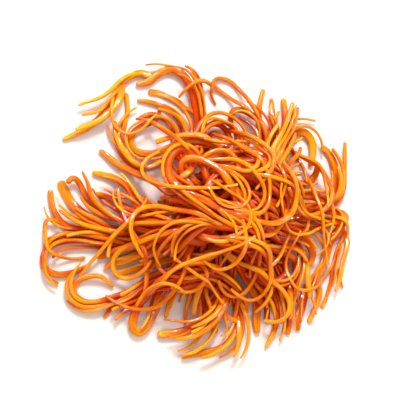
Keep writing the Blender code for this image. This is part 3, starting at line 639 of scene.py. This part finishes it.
# the fruiting bodies: soft tubes with lengthwise grooves, a slow twist and a blunt end
fruitingBody = {
    "sides": 16,
    "shootSides": 8,
    "wideFrom": 0.75,  # strands flatter than this count as wide
    "ring": 1.1 * mm,
    "shootRing": 1.3 * mm,
    "tipRings": (0.62, 0.3, 0.08, 0.0),  # distances from the very tip, over its radius
    "tipShare": 0.3,  # of the length at most is rounded off
    "roundness": 0.92,  # mean half width over that of the corners of the faceted solid
    "waves": ((10.0 * mm, 0.3 * mm), (4.0 * mm, 0.1 * mm)),
    "wavesUp": 0.6,  # up and down they are smaller
    "twist": 0.7,  # radians
    "wideTwist": 0.25,
    "twistRun": 22 * mm,
    "lumps": ((8.0 * mm, 0.09), (2.6 * mm, 0.04)),
    "tipForm": (-0.45, 0.15),  # from pointed to slightly clubbed
    "tipRun": 3.0 * mm,
    "squareness": 0.82,  # of the section: 1 is an ellipse, less is boxier
    "groove": (0.12, 0.34),
    "grooveSpread": 0.42,  # radians
    "grooveApart": 2.3,
    "grooveDrift": 1.2,
    "grooveRun": 15 * mm,
    "grooveStrength": (0.6, 0.5),  # its middle, and how much it comes and goes
    "wideGroove": (0.3, 0.55),
    "wideSpread": 0.26,  # shares of the half width
    "wideDrift": 0.12,
    "oneTrough": 0.25,  # no further from the middle than this
    "oneTroughShare": 0.5,  # of the wide bodies, the others have two
    "twoTroughs": (-0.38, 0.36),
    "flare": 0.35,  # wider by this share where a root meets the foot
    "flareRun": 3.0 * mm,
    "tipColourRun": 11 * mm,
    "tintChange": 0.4,  # between a strand and its shoots
    "onTable": 0.02 * mm,  # soft flesh lies flat on the table
}


def growTube(bm, line, sizes, cover, number, tint, sides, ring, flare=0.0):
    # one tube of rings along a line; sizes are its half width and half thickness
    plan = fruitingBody
    draw = np.random.default_rng(number)
    wide = (sizes[:, 1] / sizes[:, 0]).mean() < plan["wideFrom"]
    along = stepsAlong(line)
    total = along[-1]
    blunt = min(sizes[-1].mean(), plan["tipShare"] * total)
    even = np.linspace(0.0, total - blunt, max(4, round((total - blunt) / ring)) + 1)
    stations = np.concatenate([[0.0], even, total - blunt * np.array(plan["tipRings"])])
    table = sampleAt(stations, along, np.column_stack([line, sizes, cover]))
    centre, size, deep = table[:, :3], table[:, 3:5], table[:, 5]
    across, through = turnSections(np.array([centre[0] * 2.0 - centre[2], *centre[1:]]))
    for k, (run, stray) in enumerate(plan["waves"]):
        stray = stray * np.minimum(stations / run, 1.0)
        centre = centre + (stray * wander(stations, run, number + 11.0 + k))[:, None] * across
        lift = plan["wavesUp"] * stray * wander(stations, run, number + 17.0 + k)
        centre = centre + lift[:, None] * through
    turn = plan["wideTwist" if wide else "twist"] * wander(stations, plan["twistRun"], number)
    across, through = (across * np.cos(turn)[:, None] + through * np.sin(turn)[:, None],
                       through * np.cos(turn)[:, None] - across * np.sin(turn)[:, None])

    form = 1.0 + sum(share * wander(stations, run, number + 31.0 * k)
                     for k, (run, share) in enumerate(plan["lumps"]))
    form *= 1.0 + draw.uniform(*plan["tipForm"]) * np.exp(-((total - stations) / plan["tipRun"]) ** 2)
    form *= 1.0 + flare * (1.0 - ease(stations / plan["flareRun"]))
    form *= np.sqrt(np.clip(1.0 - np.clip((stations - total + blunt) / blunt, 0.0, 1.0) ** 2, 0.0, 1.0))
    form[0] = 0.0

    angle = np.linspace(0.0, 2.0 * math.pi, sides + 1)[None]
    cos, sin = np.cos(angle), np.sin(angle)
    cos = np.sign(cos) * np.abs(cos) ** plan["squareness"]
    sin = np.sign(sin) * np.abs(sin) ** plan["squareness"]
    usual, change = plan["grooveStrength"]
    strength = usual + change * wander(stations, plan["grooveRun"], number + 3.0)
    strength = np.clip(strength, 0.0, 1.0)[:, None]
    shift = wander(stations, plan["grooveRun"], number + 5.0)[:, None]
    if wide:
        # two or three bodies grown together: troughs between them, above and below
        most = plan["oneTrough"]
        troughs = plan["twoTroughs"]
        if draw.random() < plan["oneTroughShare"]:
            troughs = [draw.uniform(-most, most)]
        drift = plan["wideDrift"] * shift
        dent = sum(np.exp(-((cos - place - drift) / plan["wideSpread"]) ** 2) for place in troughs)
        sin = sin * (1.0 - draw.uniform(*plan["wideGroove"]) * strength * dent)
        cos = cos * np.ones_like(strength)
    else:
        squeeze = 1.0
        for first in draw.uniform(0.0, 2.0 * math.pi) + np.array([0.0, plan["grooveApart"]]):
            bend = (angle - first - plan["grooveDrift"] * shift + math.pi) % (2.0 * math.pi) - math.pi
            depth = draw.uniform(*plan["groove"]) * strength
            squeeze = squeeze - depth * np.exp(-(bend / plan["grooveSpread"]) ** 2)
        cos, sin = cos * squeeze, sin * squeeze
    wideways = (size[:, 0] * form)[:, None] * cos
    upways = (size[:, 1] * form)[:, None] * sin
    places = centre[:, None] + across[:, None] * wideways[..., None] + through[:, None] * upways[..., None]
    places[..., 2] = np.maximum(places[..., 2], plan["onTable"])
    tip = ease(1.0 - (total - stations) / plan["tipColourRun"])

    rings = len(stations)
    verts = bmesh.ops.create_grid(bm, x_segments=sides, y_segments=rings - 1, size=1.0)["verts"]
    layers = bm.verts.layers
    grain, shade = layers.float_vector["grain"], layers.float_vector["shade"]
    for vert in verts:
        column = round((vert.co.x + 1.0) / 2.0 * sides)
        row = round((vert.co.y + 1.0) / 2.0 * (rings - 1))
        vert.co = places[row, column]
        vert[grain] = (stations[row] + 0.2 * number, wideways[row, column], upways[row, column])
        vert[shade] = (tint, deep[row], tip[row])
    bmesh.ops.remove_doubles(bm, verts=verts, dist=0.0005 * mm)


def startPiece():
    bm = bmesh.new()
    bm.verts.layers.float_vector.new("grain")  # along the strand and within its section
    bm.verts.layers.float_vector.new("shade")  # tint, depth in the heap for painted shade, nearness to the tip
    return bm


def finishPiece(name, bm, node):
    mesh = bpy.data.meshes.new(name)
    bm.to_mesh(mesh)
    bm.free()
    mesh.shade_smooth()
    piece = bpy.data.objects.new(name, mesh)
    bpy.context.collection.objects.link(piece)
    soft = piece.modifiers.new("soft flesh", "SUBSURF")
    soft.levels = soft.render_levels = 1
    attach(piece, "root")
    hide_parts(node)
    return piece


def makeFruitingBodies():
    pieces = []
    change = fruitingBody["tintChange"]
    for number, strand in enumerate(strands.values()):
        bm = startPiece()
        tint = dice.uniform(0.0, 1.0)
        sizes = strand["sizes"] * fruitingBody["roundness"]
        flare = fruitingBody["flare"] * strand["onFoot"]
        growTube(bm, strand["line"], sizes, strand["cover"], 1000 + number, tint, fruitingBody["sides"],
                 fruitingBody["ring"], flare)
        for k, shoot in enumerate(shoots):
            if shoot["node"] == strand["node"]:
                thickness = shoot["radius"] * dice.uniform(*shootPlan["flat"])
                sizes = np.stack([shoot["radius"], thickness], axis=1)
                shootTint = np.clip(tint + dice.uniform(-change, change), 0.0, 1.0)
                growTube(bm, shoot["line"], sizes, shoot["cover"], 2000 + k, shootTint,
                         fruitingBody["shootSides"], fruitingBody["shootRing"])
        name = strand["node"].replace("strand", "fruiting_body")
        pieces.append(finishPiece(name, bm, strand["node"]))
    return pieces


bodies = makeFruitingBodies()
print("fruiting bodies modelled:", sum(len(piece.data.polygons) for piece in bodies) * 8,
      "triangles when smoothed")


# the foot: a low cushion of matted tissue, cut flat below, with collars round the roots and small nubs
footPlan = {
    "voxel": 0.6 * mm,
    "flatBelow": 0.35 * mm,
    "lumps": ((4.2 * mm, 0.32 * mm), (1.5 * mm, 0.16 * mm)),
    "sunken": 0.12 * mm,
    "collar": 0.45 * mm,
    "collarReach": 1.7 * mm,
    "nubs": 46,
    "nubHalfWidth": (0.35 * mm, 0.7 * mm),
    "nubLength": (1.2 * mm, 3.6 * mm),
    "nubHeight": (0.2, 1.0),  # shares of the foot's height
    "nubOnTop": 0.85,  # from here up it may also stand further in
    "nubInset": (0.55, 0.86),  # shares of the foot's half width
    "nubSunken": 0.3 * mm,
    "nubOut": 1.2,  # those on top stand, those below lean out
    "nubUp": (0.35, 0.9),
    "nubStray": 0.3,
    "nubCurl": 0.4 * mm,
    "nubTint": (0.3, 1.0),
    "nubPoints": 6,
    "nubSides": 8,
    "nubRing": 0.5 * mm,
}


def makeFoot():
    plan = footPlan
    raw = bpy.data.objects.new("raw foot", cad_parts["foot"].data.copy())
    bpy.context.collection.objects.link(raw)
    even = raw.modifiers.new("even faces", "REMESH")
    even.mode, even.voxel_size = "VOXEL", plan["voxel"]
    raw.update_tag()
    bpy.context.view_layer.update()
    mesh = bpy.data.meshes.new_from_object(raw.evaluated_get(bpy.context.evaluated_depsgraph_get()))
    bpy.data.objects.remove(raw)

    bm = startPiece()
    bm.from_mesh(mesh)
    bm.normal_update()
    roots = [strand["line"][0] for strand in strands.values() if strand["onFoot"]]
    grain, shade = bm.verts.layers.float_vector["grain"], bm.verts.layers.float_vector["shade"]
    aside = Vector((3.1, 0.0, 0.0))  # another place in the noise
    for vert in bm.verts:
        place = vert.co.copy()
        if place.z < plan["flatBelow"]:
            vert.co.z = 0.0
        else:
            bulge = sum(size * noise.noise(place / run + aside) for run, size in plan["lumps"])
            near = min((place.xy - Vector(root[:2])).length for root in roots)
            bulge += plan["collar"] * math.exp(-(near / plan["collarReach"]) ** 2) * max(vert.normal.z, 0.0)
            vert.co += vert.normal * (bulge - plan["sunken"])
            vert.co.z = max(vert.co.z, 0.0)
        vert[grain] = place
        vert[shade] = (0.5, 0.0, 0.0)
    centre = (footLow + footHigh) / 2.0
    half = (footHigh - footLow) / 2.0
    within, rim = plan["nubInset"]
    for k in range(plan["nubs"]):
        around = dice.uniform(0.0, 2.0 * math.pi)
        height = dice.uniform(*plan["nubHeight"])
        inset = dice.uniform(within, rim) if height > plan["nubOnTop"] else rim
        out = np.array([math.cos(around), math.sin(around), 0.0])
        start = np.array([centre.x, centre.y, 0.0]) + out * inset * np.array([half.x, half.y, 0.0])
        start[2] = footHigh.z * height - plan["nubSunken"]
        least, more = plan["nubUp"]
        upwards = np.array([0.0, 0.0, least + more * height])
        way = unit(out * (plan["nubOut"] - height) + upwards + plan["nubStray"] * dice.normal(size=3))
        length = dice.uniform(*plan["nubLength"])
        share = np.linspace(0.0, 1.0, plan["nubPoints"])
        line = start + length * share[:, None] * way
        line[:, 2] += plan["nubCurl"] * share ** 2
        sizes = np.full((plan["nubPoints"], 2), dice.uniform(*plan["nubHalfWidth"]))
        growTube(bm, line, sizes, np.zeros(plan["nubPoints"]), 3000 + k, dice.uniform(*plan["nubTint"]),
                 plan["nubSides"], plan["nubRing"])
    return finishPiece("foot_with_nubs", bm, "foot")


footPiece = makeFoot()
print("foot modelled:", len(footPiece.data.polygons), "faces")


def linear(hexColour):
    # sRGB to the linear values that the shader takes
    parts = [int(hexColour[k:k + 2], 16) / 255.0 for k in (1, 3, 5)]
    return (*[part / 12.92 if part <= 0.04045 else ((part + 0.055) / 1.055) ** 2.4 for part in parts], 1.0)


def setInputs(tree, node, inputs):
    # an input is given a plain value or another node's output
    for socket, value in inputs.items():
        if isinstance(value, bpy.types.NodeSocket):
            tree.links.new(value, node.inputs[socket])
        else:
            node.inputs[socket].default_value = value


def addNode(tree, kind, inputs=None, **settings):
    node = tree.nodes.new(kind)
    for name, value in settings.items():
        setattr(node, name, value)
    setInputs(tree, node, inputs or {})
    return node.outputs[0] if len(node.outputs) == 1 else node.outputs


def startMaterial(name):
    material = bpy.data.materials.new(name)
    material.use_nodes = True
    return material, material.node_tree, material.node_tree.nodes["Principled BSDF"]


def setStops(tree, factor, stops):
    outputs = addNode(tree, "ShaderNodeValToRGB", {"Fac": factor})
    ramp = outputs[0].node.color_ramp
    while len(ramp.elements) < len(stops):
        ramp.elements.new(0.5)
    for element, (place, colour) in zip(ramp.elements, stops):
        element.position, element.color = place, linear(colour)
    return outputs[0]


def mixColour(tree, factor, colour, other):
    # other is a hex colour or another node's colour
    other = linear(other) if isinstance(other, str) else other
    outputs = addNode(tree, "ShaderNodeMix", {0: factor, 6: colour, 7: other}, data_type="RGBA")
    return next(socket for socket in outputs if socket.enabled)


def addNoise(tree, place, size, detail, **inputs):
    # size is that of the pattern's patches
    inputs = {"Vector": place, "Scale": 1.0 / size, "Detail": detail, **inputs}
    return addNode(tree, "ShaderNodeTexNoise", inputs)["Fac"]


def changeRange(tree, value, before, after, **settings):
    inputs = {"Value": value, "From Min": before[0], "From Max": before[1]}
    inputs |= {"To Min": after[0], "To Max": after[1]}
    return addNode(tree, "ShaderNodeMapRange", inputs, **settings)[0]


# soaked fungus flesh: moist and slightly see-through at its edges, under a thin moist film that glints
soakedFlesh = {
    "colours": ((0.0, "#C44C00"), (0.3, "#DA7800"), (0.5, "#E49800"), (0.68, "#EAA800"), (1.0, "#F0B80C")),
    "paintedUnderShadeColour": "#E05000",  # painted shade: flesh that faces down and sideways is drawn redder
    "paintedUnderShadeShare": 0.8,
    "paintedUnderShadeFacing": (0.85, -0.15),  # how far up the surface looks, from no painted shade to full
    # painted shade: the darker red drawn where other strands lie above the flesh
    "paintedShadeColour": "#C81000",
    "paintedShadeShare": 0.8,
    "tipColour": "#FFBE30",
    "tipShare": 0.4,
    "streakSize": (12.0 * mm, 0.85 * mm),
    "fibreSize": (4.0 * mm, 0.17 * mm),  # the real fibres are finer, drawn coarser so that they show
    "mottleSize": 4.5 * mm,
    "pimpleSize": 0.42 * mm,
    "pimpleEdge": 0.6,
    "shares": {"streak": 1.15, "mottle": 0.5, "tint": 0.26, "fibre": 0.5},
    "streakBump": 0.22 * mm,
    "fibreBump": 0.06 * mm,
    "pimpleBump": 0.05 * mm,
    "roughness": (0.34, 0.5),  # between one streak and the next
    "streakSpan": (0.3, 0.7),  # what the streaks' noise mostly lies between
    "ior": 1.40,
    "gloss": 0.2,
    "rippleSize": 2.2 * mm,
    "rippleBump": 0.25 * mm,
    "film": (0.15, 1.0),  # how wet the dry and the wet places are
    "filmSize": 3.5 * mm,
    "filmEdge": (0.46, 0.54),
    "filmIor": 1.42,
    "filmRoughness": 0.05,
    "sheenColour": "#FFB060",
    "throughColour": (1.0, 0.32, 0.06),
    "throughDepth": 0.7 * mm,
    "throughWeight": 0.5,
}


def makeSoakedFlesh():
    plan = soakedFlesh
    material, tree, shader = startMaterial("soaked fungus flesh")
    grain = addNode(tree, "ShaderNodeAttribute", attribute_name="grain")["Vector"]
    shade = addNode(tree, "ShaderNodeAttribute", attribute_name="shade")["Vector"]
    # depth is how far other strands cover the place; it drives the painted shade below
    tint, depth, tip = addNode(tree, "ShaderNodeSeparateXYZ", {"Vector": shade})
    place = addNode(tree, "ShaderNodeTexCoord")["Object"]

    def reckon(operation, a, b):
        return addNode(tree, "ShaderNodeMath", {0: a, 1: b}, operation=operation)

    def alongStrand(size, detail):
        scale = (1.0 / size[0], 1.0 / size[1], 1.0 / size[1])
        stretched = addNode(tree, "ShaderNodeMapping", {"Vector": grain, "Scale": scale})
        return addNoise(tree, stretched, 1.0, detail)

    streak = alongStrand(plan["streakSize"], 3.0)
    fibre = alongStrand(plan["fibreSize"], 2.0)
    mottle = addNoise(tree, place, plan["mottleSize"], 2.0)
    tone = 0.5
    for name, value in (("streak", streak), ("mottle", mottle), ("tint", tint), ("fibre", fibre)):
        part = reckon("MULTIPLY", reckon("SUBTRACT", value, 0.5), plan["shares"][name])
        tone = reckon("ADD", tone, part)
    colour = setStops(tree, tone, plan["colours"])
    ripe = reckon("MULTIPLY", tip, tint)
    colour = mixColour(tree, reckon("MULTIPLY", ripe, plan["tipShare"]), colour, plan["tipColour"])
    # painted shade: the more the surface faces down or sideways, the more it takes the redder shade colour
    normal = addNode(tree, "ShaderNodeNewGeometry")["Normal"]
    facing = addNode(tree, "ShaderNodeSeparateXYZ", {"Vector": normal})["Z"]
    under = changeRange(tree, facing, plan["paintedUnderShadeFacing"], (0.0, plan["paintedUnderShadeShare"]),
                        interpolation_type="SMOOTHSTEP")
    colour = mixColour(tree, under, colour, plan["paintedUnderShadeColour"])
    # painted shade: redder and darker where other strands lie above, standing in for the shade between them
    colour = mixColour(tree, reckon("MULTIPLY", depth, plan["paintedShadeShare"]), colour, plan["paintedShadeColour"])

    cells = {"Vector": place, "Scale": 1.0 / plan["pimpleSize"]}
    pimples = addNode(tree, "ShaderNodeTexVoronoi", cells)["Distance"]
    pimples = reckon("MULTIPLY", reckon("SUBTRACT", plan["pimpleEdge"], pimples), ripe)
    below = {}
    for height, size in ((streak, "streakBump"), (fibre, "fibreBump"), (pimples, "pimpleBump")):
        inputs = {"Height": height, "Strength": 1.0, "Distance": plan[size], **below}
        bumpy = addNode(tree, "ShaderNodeBump", inputs)
        below = {"Normal": bumpy}
    rough = changeRange(tree, streak, plan["streakSpan"], plan["roughness"])
    ripple = addNoise(tree, place, plan["rippleSize"], 1.0)
    ripple = {"Height": ripple, "Strength": 1.0, "Distance": plan["rippleBump"]}
    rippled = addNode(tree, "ShaderNodeBump", ripple)
    wet = changeRange(tree, addNoise(tree, place, plan["filmSize"], 2.0), plan["filmEdge"], plan["film"])
    setInputs(tree, shader, {
        "Base Color": colour, "Normal": bumpy, "Roughness": rough, "IOR": plan["ior"],
        "Subsurface Weight": plan["throughWeight"], "Subsurface Radius": plan["throughColour"],
        "Subsurface Scale": plan["throughDepth"],
        "Specular IOR Level": plan["gloss"], "Specular Tint": linear(plan["sheenColour"]),
        "Coat Weight": wet, "Coat Normal": rippled, "Coat Roughness": plan["filmRoughness"],
        "Coat IOR": plan["filmIor"]})
    return material


# matted foot tissue: felted threads with a dry, dull surface, paler where it was cut from its bed
mattedTissue = {
    "colours": ((0.25, "#DC5000"), (0.5, "#F07C00"), (0.75, "#FFA40C")),
    "cutColours": ((0.3, "#D9A25A"), (0.7, "#F0CE93")),
    "cutHeight": 0.5 * mm,
    "feltSize": 1.1 * mm,
    "threadSize": 0.35 * mm,
    "feltBump": 0.12 * mm,
    "roughness": 0.7,
    "throughColour": (1.0, 0.4, 0.12),
    "throughDepth": 1.0 * mm,
    "throughWeight": 0.2,
    "film": 0.25,
    "filmRoughness": 0.3,
}


def makeMattedTissue():
    plan = mattedTissue
    material, tree, shader = startMaterial("matted foot tissue")
    place = addNode(tree, "ShaderNodeTexCoord")["Object"]
    felt = addNoise(tree, place, plan["feltSize"], 5.0, Distortion=0.6)
    thread = addNoise(tree, place, plan["threadSize"], 3.0)
    whole = setStops(tree, felt, plan["colours"])
    cut = setStops(tree, thread, plan["cutColours"])
    height = addNode(tree, "ShaderNodeSeparateXYZ", {"Vector": place})["Z"]
    nearCut = changeRange(tree, height, (0.0, plan["cutHeight"]), (1.0, 0.0))
    both = addNode(tree, "ShaderNodeMath", {0: felt, 1: thread}, operation="ADD")
    bumpy = {"Height": both, "Strength": 1.0, "Distance": plan["feltBump"]}
    setInputs(tree, shader, {
        "Base Color": mixColour(tree, nearCut, whole, cut), "Normal": addNode(tree, "ShaderNodeBump", bumpy),
        "Roughness": plan["roughness"],
        "Subsurface Weight": plan["throughWeight"], "Subsurface Radius": plan["throughColour"],
        "Subsurface Scale": plan["throughDepth"],
        "Coat Weight": plan["film"], "Coat Roughness": plan["filmRoughness"]})
    return material


flesh = makeSoakedFlesh()
for piece in bodies:
    piece.data.materials.append(flesh)
footPiece.data.materials.append(makeMattedTissue())
print("finishes made")


# a plain pale table, soft light mainly from the far side, and the camera of the photograph
studio = {
    "floorSize": 4.0,
    "floorColour": "#E4EBF4",
    "floorRoughness": 0.6,
    "worldColour": "#FFECD6",
    "worldStrength": 0.9,
    "lights": {
        "window": dict(place=(-0.08, 0.42, 0.50), size=0.17, power=3.9, colour="#FFF6E8"),
        "sparkle": dict(place=(-0.26, 0.26, 0.50), size=0.09, power=6.2, colour="#FFF0F4"),
        "farSparkle": dict(place=(0.22, 0.40, 0.50), size=0.085, power=5.2, colour="#FFF0F4"),
        "sideFill": dict(place=(0.50, -0.05, 0.40), size=0.40, power=0.3, colour="#FFF4E8"),
        "nearFill": dict(place=(-0.35, -0.35, 0.45), size=0.45, power=0.3, colour="#FFF4E8"),
    },
    "onlyGlints": ("sparkle", "farSparkle"),  # they show in the moist film and light nothing else
    "aim": (0.0, 0.0, 0.006),
    "viewFrom": (-0.34, -0.19, 0.92),
    "distance": 0.345,
    "lens": 100.0,
}


def lookAt(thing, place, target, upward):
    # the thing's -Z goes to the target and its +Y as far upward in the picture as it can
    back = (place - target).normalized()
    right = upward.cross(back).normalized()
    up = back.cross(right)
    thing.matrix_world = Matrix.Translation(place) @ Matrix((right, up, back)).transposed().to_4x4()


def makeTable():
    bm = bmesh.new()
    bmesh.ops.create_grid(bm, x_segments=1, y_segments=1, size=studio["floorSize"] / 2.0)
    mesh = bpy.data.meshes.new("table")
    bm.to_mesh(mesh)
    bm.free()
    table = bpy.data.objects.new("table", mesh)
    bpy.context.collection.objects.link(table)
    material, tree, shader = startMaterial("pale table")
    colour = linear(studio["floorColour"])
    setInputs(tree, shader, {"Base Color": colour, "Roughness": studio["floorRoughness"]})
    mesh.materials.append(material)


def makeLights():
    world = bpy.data.worlds.new("pale room")
    world.use_nodes = True
    background = {"Color": linear(studio["worldColour"]), "Strength": studio["worldStrength"]}
    setInputs(world.node_tree, world.node_tree.nodes["Background"], background)
    bpy.context.scene.world = world
    for name, light in studio["lights"].items():
        lamp = bpy.data.lights.new(name, "AREA")
        lamp.size, lamp.energy = light["size"], light["power"]
        lamp.color = linear(light["colour"])[:3]
        holder = bpy.data.objects.new(name, lamp)
        holder.visible_diffuse = name not in studio["onlyGlints"]
        bpy.context.collection.objects.link(holder)
        lookAt(holder, Vector(light["place"]), Vector(studio["aim"]), Vector((0.0, 0.0, 1.0)))


def makeCamera():
    camera = bpy.data.objects.new("camera", bpy.data.cameras.new("camera"))
    camera.data.lens = studio["lens"]
    camera.data.clip_start = 0.01
    bpy.context.collection.objects.link(camera)
    aim = Vector(studio["aim"])
    place = aim + studio["distance"] * Vector(studio["viewFrom"]).normalized()
    lookAt(camera, place, aim, Vector((0.0, 1.0, 0.0)))
    bpy.context.scene.camera = camera


makeTable()
makeLights()
makeCamera()
bpy.context.scene.view_settings.view_transform = "Standard"  # keeps the oranges as strong as they are
print("table, lights and camera set")
